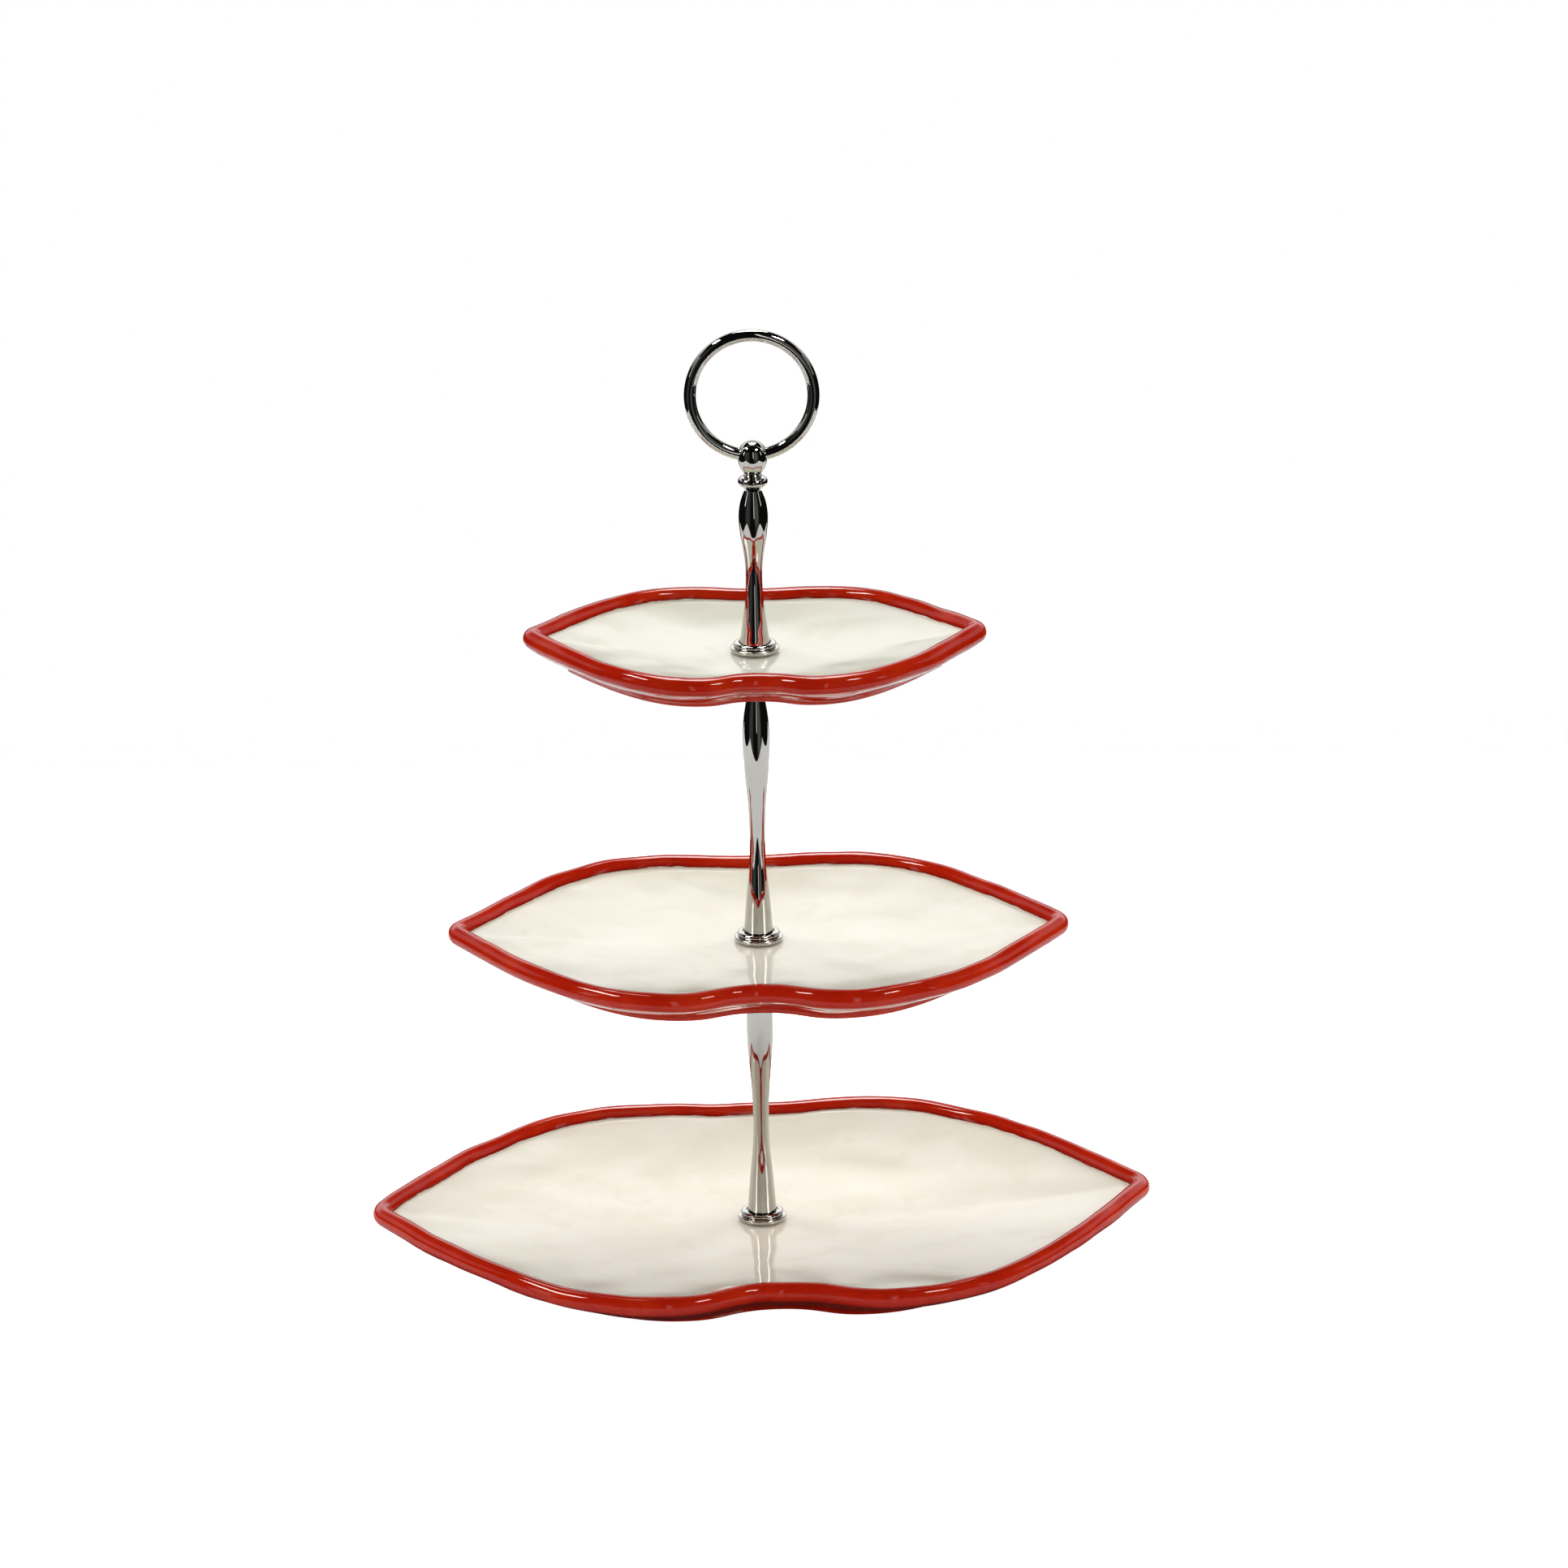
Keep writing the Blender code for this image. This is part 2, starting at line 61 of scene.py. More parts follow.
# Plates, in the CAD model's dimensions. First the outline of the rim, a pair of lips: the lobes stand
# at a share of the half length, and between them the outline dips to these shares of the half width.
WIDTH_TO_LENGTH = 0.705
TIP_RADIUS_TO_LENGTH = 0.034
BEAD_RADIUS = 3.6 * MM
FLANK_ANGLE = math.radians(60)
FLANK_FULLNESS = 0.72
LOBE_AT = 0.29
BACK_BOW = 0.965
FRONT_BOW = 0.89

# Then the section, from the hole to the rim and down to the foot ring: insets are from the outline,
# and foot points are (inset, height) from the foot ring's outer edge.
SEAT_RADIUS = 11.0 * MM
PLATE_HOLE_RADIUS = 3.4 * MM
FLOOR_CURVE = 2.2
FLOOR_CROWDING = 0.8
BEAD_END_ANGLE = 230
WALL_TOP_INSET = 1.0 * MM
WALL_TOP_DROP = 4.6 * MM
WALL_TOP_LIFT = 0.7
WALL_MIDDLE_INSET = 0.46
WALL_MIDDLE_DROP = 0.6
WALL_MIDDLE_LIFT = 0.3
FOOT_SECTION_MM = [(-2.2, 2.0), (-1.3, 0.5), (0, 0), (2.4, 0), (4.0, 1.0)]
FOOT_HEEL_INSET = 7.4 * MM
PLATES = {
    "bottom": dict(length=286 * MM, dish=6.2 * MM, tip_lift=1.6 * MM, thickness=4.4 * MM,
                   foot_inset=28 * MM, foot_drop=17.0 * MM, turn=3.4),
    "middle": dict(length=224 * MM, dish=4.1 * MM, tip_lift=0.3 * MM, thickness=4.1 * MM,
                   foot_inset=16 * MM, foot_drop=12.9 * MM, turn=0.0),
    "top": dict(length=163 * MM, dish=4.2 * MM, tip_lift=2.3 * MM, thickness=5.4 * MM,
                foot_inset=13 * MM, foot_drop=11.2 * MM, turn=0.0),
}

# Post: heights over the floor of the plate below. Sections in _MM are (height, radius) points. Those of
# the collars start from a collar's underside, and the neck's from its top. Bare angles are in degrees.
FLANGE_RADIUS = 9.05 * MM
FLANGE_LIP_ROUND = 0.95 * MM
FLANGE_LIP_EDGE = 0.35 * MM
FLANGE_LIP_EDGE_END = 84
FLANGE_LIP_TOP = 2.15 * MM
FLANGE_STEP_START = -55
FLANGE_STEP_RADIUS = 7.95 * MM
FLANGE_HEIGHT = 3.9 * MM
FLANGE_SEAT_RADIUS = 6.2 * MM
FOOT_GASKET_HEIGHT = 0.6 * MM
FOOT_GASKET_RADIUS = 7.2 * MM
LONG_COLUMN_MM = [(3.6, 5.45), (17, 4.4), (30, 3.15), (42, 2.95), (54, 3.45), (66, 4.5),
                  (77, 4.95), (87, 4.5), (96.4, 3.0)]
TOP_COLUMN_MM = [(3.6, 5.7), (7, 5.1), (10.5, 4.58), (15, 3.98), (20, 3.47), (26, 3.04), (31, 3.0),
                 (34.5, 3.22), (38, 3.63), (41.5, 4.2), (45, 4.84), (51.5, 5.38), (57, 4.75),
                 (61.7, 3.1)]
COLUMN_START = LONG_COLUMN_MM[0][0] * MM
BORE_DEPTH = 12.5 * MM
STUD_BORE_RADIUS = 2.3 * MM
HANDLE_BORE_RADIUS = 1.7 * MM
COLLAR_TAPER_MM = [(0, 2.7), (1.3, 4.0)]
COLLAR_RADIUS = 5.45 * MM
MOULDING_START = -60
MOULDING_END = 80
MOULDING_RADIUS = 1.6 * MM
MOULDING_HEIGHT = 3.1 * MM
SUPPORT_FLARE_MM = [(5.2, 3.7), (6.4, 4.6)]
SUPPORT_RADIUS = 7.8 * MM
SUPPORT_TOP = 105.3 * MM
SUPPORT_EDGE = 1.2 * MM
HANDLE_COLLAR_BOTTOM = 62.0 * MM
HANDLE_COLLAR_TOP = 68.0 * MM
HANDLE_NECK_MM = [(-1.3, 2.9), (-0.7, 3.4), (0, 2.9)]
BALL_RADIUS = 5.45 * MM
BALL_HEIGHT = 74.9 * MM
BALL_STRETCH_BELOW = 1.5
BALL_TOP_START = 4
BALL_TOP_END = 86
BALL_BORE_DEPTH = 2.2 * MM
RING_RADIUS = 22.5 * MM
RING_WIRE_RADIUS = 2.2 * MM
RING_SPLIT = math.radians(4)
RING_BORE_SPAN = math.radians(23)

# How finely curves are divided.
TIP_STEPS = 9
FLANK_STEPS = 30
BOW_STEPS = 20
FLOOR_STEPS = 22
BEAD_STEPS = 22
SECTION_RUNS = 5
ROUND_STEPS = 96
LIP_STEPS = 8
MOULDING_STEPS = 14
BALL_STEPS = 16
COLUMN_RUNS = 7
WIRE_STEPS = 28
RING_STEPS = 180
RING_BORE_STEPS = 24
SMOOTH_UNDER = math.radians(38)

# Unevenness of the plates: (wavelength, how far it moves the surface). It grows from nothing to all of
# this with the distance from the axis and with the height above the foot. The plates take their noise
# at places this far apart, so that no two are alike.
PRESSED = [(48 * MM, 0.65 * MM), (18 * MM, 0.45 * MM), (9 * MM, 0.08 * MM)]
NOISE_SEED = 3
NOISE_START = 1.9
NOISE_APART = 7.3
STILL_WITHIN = 12 * MM
UNEVEN_BEYOND = 34 * MM
STILL_ABOVE_FOOT = 0.4 * MM
UNEVEN_ABOVE_FOOT = 5 * MM

# The glazes read this attribute: how far a point is past the paint line along the plate's section, from
# the floor over the bead. The line runs along the bead's innermost point. On the floor only the last
# millimetres matter, so distances there are rough, scaled from these shares of the plate's length.
PAINT_ATTRIBUTE = "paint_mm"
FLOOR_REACH = 1 / 3
SEAT_REACH = 1 / 2

# Camera: distance, lens and tilts that match the product photograph's view.
CAMERA_DISTANCE = 2.79
CAMERA_LENS_MM = 173.3
CAMERA_SENSOR_MM = 36
CAMERA_ELEVATION = math.radians(18)
CAMERA_ROLL = math.radians(-0.675)
CAMERA_TURN = math.radians(-0.75)
AIM = Vector((10.1 * MM, 0, 182.8 * MM))

# Table top: how far it reaches from the axis to the front, each side and the back, and its greys. It
# glows only towards the camera, so that it's as white as the background. In mirrors it's a little
# lighter, but dark in the shade of the bottom plate. The shade's soft edge is given in halves of that
# plate's length and width.
TABLE_FRONT = 0.46
TABLE_SIDE = 0.62
TABLE_BACK = 0.60
TABLE_ROUGHNESS = 0.6
TABLE_COLOUR = 0.72
TABLE_GLOW = 0.95
TABLE_MIRRORED = 0.85
TABLE_SHADE = 0.08
SHADE_FROM = 0.95
SHADE_TO = 1.15

# Lights as (azimuth from, to, elevation from, to, soft edge, radiance), in degrees. Azimuth is from the
# front, positive to the right. Each paired light stands on both sides, and one that reaches past 180
# closes behind. Broad lights fill the matt colours evenly. Narrow ones are what gloss and chrome mirror.
BROAD_PAIRED = [
    (98, 142, 2, 44, 6, 3.85),
    (152, 200, 40, 62, 5, 6.5),
    (-20, 84, -4, 40, 8, 1.42),
]
NARROW_PAIRED = [
    (98, 140, 14, 34, 4, 0.6),
    (152, 200, 51, 76, 2, 15.0),
    (140, 200, 10, 30, 8, 1.5),
]
NARROW_SINGLE = [
    (-104, -68, 47, 54, 1, 28.0),
    (38, 60, 47, 54, 1, 28.0),
    (-62, -28, -24, 30, 8, 0.05),
    (14, 40, -24, 30, 8, 0.11),
    (-77, -70, 4, 26, 1, 1.5),
    (68, 74, 4, 26, 1, 1.2),
    (4, 7.5, -12, 36, 1, 1.4),
]
# These show only in a reflection of a reflection, as where a plate's floor mirrors the post.
TWICE_REFLECTED = [
    (44, 58, 5, 30, 1, 5.0),
]
ROOM_LIGHT = 0.006

# Colours, as linear RGB.
CREAM = (0.755, 0.738, 0.615)
CREAM_THIN = (0.70, 0.68, 0.52)
CREAM_POOLED = (0.785, 0.77, 0.665)
RED = (0.43, 0.0125, 0.0025)
RED_DARK = (0.20, 0.004, 0.0015)
RED_BRIGHT = (0.53, 0.027, 0.005)
SPECK = (0.30, 0.22, 0.14)
CHROME = (0.55, 0.54, 0.505)
CHROME_STAIN = (0.48, 0.465, 0.43)
WHITE = (1.0, 1.0, 1.0)

# Marks, as noise: (wavelength, detail, distortion, from, to, least, most). Noise runs from about 0.2
# to 0.8. A mark grows from its least, where the noise is at from, to its most, where it is at to.
# These say how far a second colour takes over.
CLOUDS = (34 * MM, 3.0, 0.6, 0.38, 0.62, 0.0, 1.0)
PATCHES = (17 * MM, 4.0, 1.2, 0.52, 0.75, 0.0, 0.45)
STREAKS = (22 * MM, 2.0, 0.5, 0.40, 0.70, 0.0, 0.6)
BRUSH_MARKS = (5 * MM, 3.0, 1.0, 0.45, 0.75, 0.0, 0.18)
CHROME_STAINS = (7 * MM, 4.0, 0.0, 0.45, 0.7, 0.0, 0.25)

# These are roughnesses.
GLAZE_SMEARS = (5 * MM, 3.0, 0.0, 0.3, 0.7, 0.02, 0.06)
WIPING_MARKS = (1.2 * MM, 5.0, 0.0, 0.45, 0.75, 0.012, 0.04)

# The paint's edge: how it wavers, as (wavelength, detail) and reach, then where it begins and ends.
PAINT_WAVER = (9 * MM, 3.0)
PAINT_WAVER_MM = 1.7
PAINT_SHIFT_MM = 0.1
PAINT_EDGE_MM = (-0.10, 0.12)

# The glaze is thin in a line beside the paint, and the red is darker where it starts.
THIN_LINE_MM = (-1.15, -0.35)
THIN_LINE_SOFT_MM = 0.22
THIN_LINE_STRENGTH = 0.5
RED_EDGE_WIDTH_MM = 1.5
RED_EDGE_DARKENING = 0.85

# Specks in the cream glaze. Their sizes, in shares of their spacing, follow this (wavelength, detail).
SPECK_SPACING = 6.5 * MM
SPECK_VARIETY = (12 * MM, 1.0)
SPECK_SIZE = 0.052
SPECK_STRENGTH = 0.35

# The gloss of the glaze.
GLAZE_IOR = 1.5
GLAZE_SPECULAR = 0.36

# Relief of the glaze and of the chrome, as layers of noise: (wavelength, detail, millimetres high).
# The glaze's grows weaker over the paint's edge, down to PAINTED_RELIEF of it.
GLAZE_RELIEF = [(13 * MM, 1.0, 0.15), (4.5 * MM, 2.0, 0.018), (32 * MM, 0.0, 0.55)]
CHROME_RELIEF = [(2.6 * MM, 2.0, 0.0008), (0.7 * MM, 2.0, 0.0001)]
PINHOLE_SPACING = 9 * MM
PINHOLE_EDGE = (0.015, 0.045)
PINHOLE_DEPTH_MM = 0.03
PAINT_THICKNESS_MM = 0.02
PAINTED_FROM_TO_MM = (-0.5, 2.0)
PAINTED_RELIEF = 0.3

# Finishes of the small hidden pieces: two colours, roughness, metallic, grain's length and depth. All
# are mottled by one noise, (wavelength, detail), in colour and roughness between these values of it.
MOTTLE = (2.5 * MM, 4.0)
MOTTLE_COLOUR = (0.4, 0.65)
MOTTLE_ROUGH = (0.3, 0.7)
MOTTLE_ROUGHENS = 1.3
GRAIN_DETAIL = 3.0
PLAIN_FINISHES = {
    "zinc_plated_steel": ((0.52, 0.52, 0.53), (0.40, 0.40, 0.41), 0.30, 1.0, 0.35 * MM, 0.01 * MM),
    "black_rubber": ((0.018, 0.018, 0.019), (0.03, 0.03, 0.03), 0.62, 0.0, 0.25 * MM, 0.02 * MM),
    "clear_plastic": ((0.62, 0.63, 0.60), (0.55, 0.56, 0.53), 0.25, 0.0, 0.8 * MM, 0.01 * MM),
}


# Meshes


def make_object(name, builder, material):
    """A piece from a bmesh, shaded smooth where it is round."""
    bmesh.ops.recalc_face_normals(builder, faces=builder.faces)
    mesh = bpy.data.meshes.new(name)
    builder.to_mesh(mesh)
    builder.free()
    mesh.shade_smooth()
    mesh.set_sharp_from_angle(angle=SMOOTH_UNDER)
    mesh.materials.append(material)
    obj = bpy.data.objects.new(name, mesh)
    bpy.context.scene.collection.objects.link(obj)
    return obj


def hand_over(obj, node, body):
    """The piece stands for its CAD node, which it hides, and rides on that body."""
    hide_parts(node)
    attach(obj, body)


def skin(rings, wrap_rings):
    """A mesh over rings of equally many points. A ring of one point is a pole.

    With wrap_rings, the last ring joins the first, as around a washer. Otherwise the first and the
    last ring close the ends, as poles or as flat caps. Vertices keep the order of the rings.
    """
    builder = bmesh.new()
    rows = [[builder.verts.new(point) for point in ring] for ring in rings]
    pairs = list(zip(rows, rows[1:]))
    if wrap_rings:
        pairs.append((rows[-1], rows[0]))
    for lower, upper in pairs:
        count = max(len(lower), len(upper))
        for i in range(count):
            j = (i + 1) % count
            corners = [lower[i % len(lower)], lower[j % len(lower)],
                       upper[j % len(upper)], upper[i % len(upper)]]
            builder.faces.new(list(dict.fromkeys(corners)))
    if not wrap_rings:
        for row in (rows[0], rows[-1]):
            if len(row) > 1:
                builder.faces.new(row)
    return builder


def circle(radius, height, steps=ROUND_STEPS):
    """A ring of points about the Z axis, or one point where the radius is 0."""
    if radius == 0:
        return [Vector((0, 0, height))]
    angles = [2 * math.pi * i / steps for i in range(steps)]
    return [Vector((radius * math.cos(a), radius * math.sin(a), height)) for a in angles]


def turned(profile, lift):
    """A solid turned about Z from (radius, height) points, raised by lift."""
    on_axis = profile[0][0] == 0 and profile[-1][0] == 0
    return skin([circle(radius, height + lift) for radius, height in profile], not on_axis)


def arc(centre, radius, start, end, steps):
    """Points (x, y) along an arc, angles in degrees."""
    angles = [math.radians(start + (end - start) * i / steps) for i in range(steps + 1)]
    return [(centre[0] + radius * math.cos(a), centre[1] + radius * math.sin(a)) for a in angles]


def smooth_through(points, runs):
    """Points on a Catmull-Rom curve through the given ones, with this many runs between each two."""
    padded = [points[0], *points, points[-1]]
    curve = []
    for before, start, end, after in zip(padded, padded[1:], padded[2:], padded[3:]):
        for i in range(runs):
            t = i / runs
            weights = ((-t + 2 * t**2 - t**3) / 2, (2 - 5 * t**2 + 3 * t**3) / 2,
                       (t + 4 * t**2 - 3 * t**3) / 2, (-t**2 + t**3) / 2)
            corners = (before, start, end, after)
            curve.append(tuple(sum(w * c[k] for w, c in zip(weights, corners))
                               for k in range(len(start))))
    return [*curve, points[-1]]


def smoothstep(value, low, high):
    """A smooth step from 0, at low, to 1, at high."""
    share = min(max((value - low) / (high - low), 0), 1)
    return share * share * (3 - 2 * share)


# Plates


def bezier(start, first, second, end, steps):
    """Points after the start of a cubic Bezier curve."""
    points = []
    for i in range(1, steps + 1):
        t = i / steps
        points.append((1 - t)**3 * start + 3 * t * (1 - t)**2 * first
                      + 3 * t**2 * (1 - t) * second + t**3 * end)
    return points


def lips_quarter(half_length, half_width, bow):
    """The outline from the tip at +X, up the straight flank and over the lobe, to the Y axis."""
    tip_radius = 2 * half_length * TIP_RADIUS_TO_LENGTH
    tip_end = 90 - math.degrees(FLANK_ANGLE)
    tip = arc((half_length - tip_radius, 0), tip_radius, 0, tip_end, TIP_STEPS)
    points = [Vector(point) for point in tip]
    start = points[-1]
    lobe = Vector((LOBE_AT * half_length, half_width))
    corner = Vector((start.x - (lobe.y - start.y) / math.tan(FLANK_ANGLE), lobe.y))
    points += bezier(start, start.lerp(corner, FLANK_FULLNESS), lobe.lerp(corner, FLANK_FULLNESS),
                     lobe, FLANK_STEPS)
    middle = Vector((0, bow * half_width))
    points += bezier(lobe, Vector((lobe.x / 2, lobe.y)), Vector((lobe.x / 2, middle.y)),
                     middle, BOW_STEPS)
    return points


def lips_outline(length):
    """The closed outline of a rim, anticlockwise from the tip at +X: back half, then front half."""
    half_length = length / 2
    half_width = half_length * WIDTH_TO_LENGTH
    back = lips_quarter(half_length, half_width, BACK_BOW)
    front = lips_quarter(half_length, half_width, FRONT_BOW)
    return (back[:-1]
            + [Vector((-p.x, p.y)) for p in reversed(back[1:])]
            + [Vector((-p.x, -p.y)) for p in front[:-1]]
            + [Vector((p.x, -p.y)) for p in reversed(front[1:])])


def inset_loop(outline, inset, height, lift=0):
    """The outline moved inwards by this much, at a height, with its tips lifted.

    Within the bead it moves along its own normals. Further in it shrinks in length and width, which
    keeps the loops clear of each other at the tips.
    """
    near = max(-BEAD_RADIUS, min(inset, BEAD_RADIUS))
    count = len(outline)
    loop = []
    for i, point in enumerate(outline):
        along = (outline[(i + 1) % count] - outline[i - 1]).normalized()
        loop.append(point + Vector((-along.y, along.x)) * near)
    half_length = max(p.x for p in loop)
    half_width = max(p.y for p in loop)
    rest = inset - near
    scale_x = 1 - rest / math.sin(FLANK_ANGLE) / half_length
    scale_y = 1 - rest / half_width
    return [Vector((p.x * scale_x, p.y * scale_y, height + lift * (p.x / half_length)**2))
            for p in loop]


def floor_loop(floor_edge, share):
    """A loop of the dished floor, from the seat's circle, at share 0, to the floor's edge, at 1."""
    seat = circle(SEAT_RADIUS, 0, len(floor_edge))
    rise = share**FLOOR_CURVE
    return [Vector((s.x + share * (p.x - s.x), s.y + share * (p.y - s.y), rise * p.z))
            for s, p in zip(seat, floor_edge)]


def plate_rings(length, dish, tip_lift, thickness, foot_inset, foot_drop):
    """The plate's surface as rings, and each ring's distance past the paint line in millimetres."""
    outline = lips_outline(length)
    count = len(outline)
    bead = arc((0, dish), BEAD_RADIUS, 0, BEAD_END_ANGLE, BEAD_STEPS)
    wall = [(*bead[-1], tip_lift),
            (WALL_TOP_INSET, dish - WALL_TOP_DROP, WALL_TOP_LIFT * tip_lift),
            (WALL_MIDDLE_INSET * foot_inset, dish - WALL_MIDDLE_DROP * foot_drop,
             WALL_MIDDLE_LIFT * tip_lift)]
    foot = [(foot_inset + inset * MM, dish - foot_drop + height * MM, 0)
            for inset, height in FOOT_SECTION_MM]
    heel = (foot_inset + FOOT_HEEL_INSET, -thickness, 0)
    outside = smooth_through([*wall, *foot[:3]], SECTION_RUNS)
    inside = smooth_through([foot[3], foot[4], heel], SECTION_RUNS)
    edge = inset_loop(outline, *bead[0], tip_lift)
    rings = [circle(PLATE_HOLE_RADIUS, 0, count), circle(SEAT_RADIUS, 0, count)]
    seat_from_paint = -SEAT_REACH * length / MM
    past_paint = [seat_from_paint, seat_from_paint]
    for i in range(1, FLOOR_STEPS):
        share = (i / FLOOR_STEPS)**FLOOR_CROWDING
        rings.append(floor_loop(edge, share))
        past_paint.append(-(1 - share) * FLOOR_REACH * length / MM)
    for i, (inset, height) in enumerate(bead):
        rings.append(inset_loop(outline, inset, height, tip_lift))
        past_paint.append(math.radians(BEAD_END_ANGLE) * i / BEAD_STEPS * BEAD_RADIUS / MM)
    for inset, height, lift in [*outside[1:], *inside]:
        rings.append(inset_loop(outline, inset, height, lift))
        past_paint.append(past_paint[-1] + 1)
    rings += [circle(SEAT_RADIUS, -thickness, count), circle(PLATE_HOLE_RADIUS, -thickness, count)]
    past_paint += [seat_from_paint, seat_from_paint]
    return rings, past_paint


def pressed(point, noise_shift, foot_height):
    """A plate's point moved a little, as a hand-pressed slab is uneven. Seat and foot stay true."""
    distance = math.hypot(point.x, point.y)
    share = smoothstep(distance, STILL_WITHIN, UNEVEN_BEYOND)
    share *= smoothstep(point.z, foot_height + STILL_ABOVE_FOOT, foot_height + UNEVEN_ABOVE_FOOT)
    moved = point.copy()
    for wavelength, reach in PRESSED:
        place = point / wavelength + Vector((noise_shift, 0, 0))
        moved += noise.noise_vector(place) * reach * share
    return moved


def make_plate(tier, floor_height, noise_shift, material):
    """One plate, with the attribute that its glazes read."""
    size = dict(PLATES[tier])
    turn = Matrix.Rotation(math.radians(size.pop("turn")), 4, "Z")
    rings, past_paint = plate_rings(**size)
    foot_height = size["dish"] - size["foot_drop"]
    place = Matrix.Translation((0, 0, floor_height)) @ turn
    rings = [[place @ pressed(point, noise_shift, foot_height) for point in ring] for ring in rings]
    plate = make_object(f"{tier}_plate_glazed", skin(rings, True), material)
    paint = plate.data.attributes.new(PAINT_ATTRIBUTE, "FLOAT", "POINT")
    values = [value for ring, value in zip(rings, past_paint) for _ in ring]
    paint.data.foreach_set("value", values)
    body = "base" if tier == "bottom" else f"{tier}_plate"
    hand_over(plate, f"{tier}_plate", body)


# Post


def flange_profile():
    """A foot flange in section: hole, gasket recess, rounded lip, rounded step, column recess."""
    lip_below = arc((FLANGE_RADIUS - FLANGE_LIP_ROUND, GAP + FLANGE_LIP_ROUND),
                    FLANGE_LIP_ROUND, -90, 0, LIP_STEPS)
    lip_above = arc((FLANGE_RADIUS - FLANGE_LIP_EDGE, FLANGE_LIP_TOP - FLANGE_LIP_EDGE),
                    FLANGE_LIP_EDGE, 0, FLANGE_LIP_EDGE_END, LIP_STEPS)
    step_round = (FLANGE_HEIGHT - FLANGE_LIP_TOP) / 2
    step = arc((FLANGE_STEP_RADIUS - step_round, FLANGE_LIP_TOP + step_round),
               step_round, FLANGE_STEP_START, 90, LIP_STEPS)
    recess = GAP + FOOT_GASKET_HEIGHT + GAP
    recess_radius = FOOT_GASKET_RADIUS + GAP
    seat = COLUMN_START - GAP
    return [(STUD_BORE_RADIUS, recess), (recess_radius, recess), (recess_radius, GAP),
            *lip_below, *lip_above, *step,
            (FLANGE_SEAT_RADIUS, FLANGE_HEIGHT), (FLANGE_SEAT_RADIUS, seat), (STUD_BORE_RADIUS, seat)]


def column_profile(outline_mm, bore_above):
    """A column in section, with a blind bore up from its foot and another down from its top."""
    surface = [(radius * MM, height * MM)
               for height, radius in smooth_through(outline_mm, COLUMN_RUNS)]
    bottom = surface[0][1]
    top = surface[-1][1]
    return [(0, bottom + BORE_DEPTH), (STUD_BORE_RADIUS, bottom + BORE_DEPTH),
            (STUD_BORE_RADIUS, bottom), *surface,
            (bore_above, top), (bore_above, top - BORE_DEPTH), (0, top - BORE_DEPTH)]


def collar_section(bottom, bore):
    """The lower part of a collar: tapered underside, then the outer half of its ring moulding."""
    middle = (COLLAR_RADIUS - MOULDING_RADIUS, bottom + MOULDING_HEIGHT)
    taper = [(radius * MM, bottom + height * MM) for height, radius in COLLAR_TAPER_MM]
    moulding = arc(middle, MOULDING_RADIUS, MOULDING_START, MOULDING_END, MOULDING_STEPS)
    return [(bore, bottom), *taper, *moulding]


def support_profile():
    """A support collar in section, which carries the plate above on its gasket."""
    bottom = LONG_COLUMN_MM[-1][0] * MM + GAP
    return [*collar_section(bottom, STUD_BORE_RADIUS),
            *((radius * MM, bottom + height * MM) for height, radius in SUPPORT_FLARE_MM),
            (SUPPORT_RADIUS, SUPPORT_TOP - SUPPORT_EDGE), (SUPPORT_RADIUS, SUPPORT_TOP),
            (STUD_BORE_RADIUS, SUPPORT_TOP)]


def ring_arc(wire_radius, start, end, steps, lift):
    """A bent round bar about the ring's centre, in the XZ plane; angles from straight down."""
    rings = []
    for i in range(steps + 1):
        angle = start + (end - start) * i / steps
        outward = Vector((math.sin(angle), 0, -math.cos(angle)))
        centre = Vector((0, 0, lift + BALL_HEIGHT + RING_RADIUS)) + outward * RING_RADIUS
        ring = []
        for k in range(WIRE_STEPS):
            turn = 2 * math.pi * k / WIRE_STEPS
            around = outward * math.cos(turn) + Vector((0, math.sin(turn), 0))
            ring.append(centre + around * wire_radius)
        rings.append(ring)
    return skin(rings, False)


def cut_away(obj, cutter):
    """Cuts one piece's shape out of another and removes the cutter."""
    cut = obj.modifiers.new("cut", "BOOLEAN")
    cut.object = cutter
    cut.operation = "DIFFERENCE"
    graph = bpy.context.evaluated_depsgraph_get()
    mesh = bpy.data.meshes.new_from_object(obj.evaluated_get(graph))
    obj.modifiers.remove(cut)
    obj.data = mesh
    obj.data.shade_smooth()
    obj.data.set_sharp_from_angle(angle=SMOOTH_UNDER)
    bpy.data.objects.remove(cutter, do_unlink=True)


